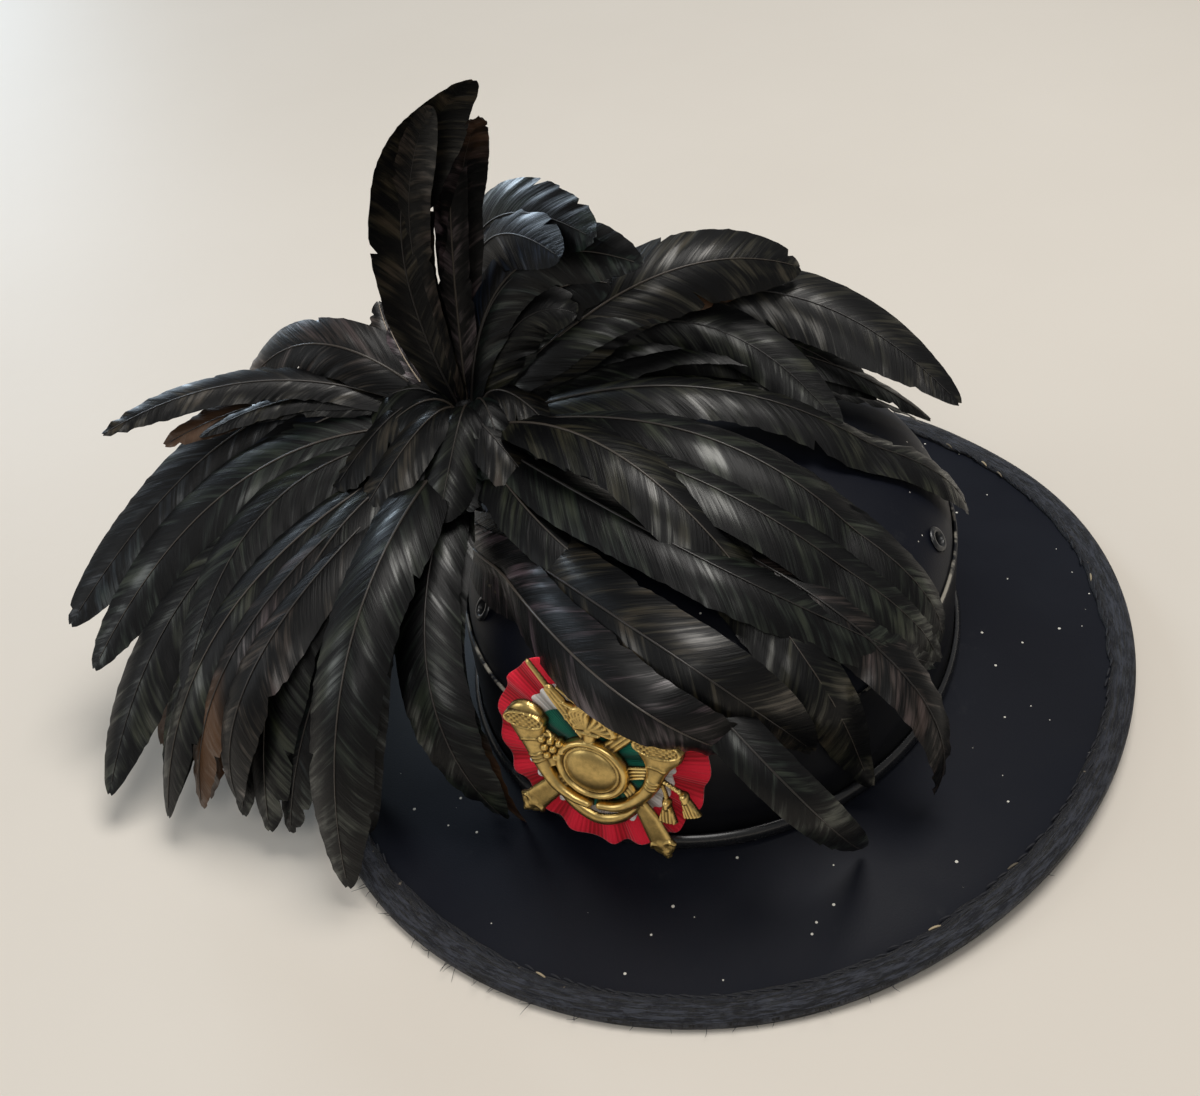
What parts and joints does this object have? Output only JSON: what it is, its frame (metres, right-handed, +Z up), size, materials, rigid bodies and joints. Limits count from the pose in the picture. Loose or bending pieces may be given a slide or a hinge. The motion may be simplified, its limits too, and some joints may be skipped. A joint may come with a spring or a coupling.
{
  "type": "plumed military hat",
  "caption": "Round-crowned black felt hat with a bound oval brim, leather band, ribbon cockade with a cast badge, chin strap and a drooping plume of cock feathers.",
  "frame": {"origin": "middle of the head opening, on the surface that the hat rests on", "axes": "+Z up through the crown, -Y the front with the cockade, -X the wearer's right, where the plume stands, +X the wearer's left"},
  "size_m": [0.3735, 0.3366, 0.2506],
  "materials": {
    "black_felt": "matt stiffened felt",
    "worn_binding": "worn ribbed ribbon",
    "band_leather": "matt",
    "patent_leather": "glossy",
    "black_enamel": "satin",
    "ribbon_red": "pleated ribbon",
    "ribbon_white": "pleated ribbon",
    "ribbon_green": "pleated ribbon",
    "aged_brass": "aged casting",
    "socket_leather": "satin",
    "cock_feather": "glossy black feather",
    "strap_leather": "satin"
  },
  "bodies": {
    "root": {"felt_body": "black_felt", "brim_binding": "worn_binding", "crown_band": "band_leather", "base_piping": "patent_leather", "eyelet_1": "black_enamel", "eyelet_2": "black_enamel", "eyelet_3": "black_enamel", "eyelet_4": "black_enamel", "cockade_red": "ribbon_red", "cockade_white": "ribbon_white", "cockade_green": "ribbon_green", "badge": "aged_brass", "plume_socket": "socket_leather", "plume": "cock_feather", "chin_strap": "strap_leather"}
  },
  "joints": []
}
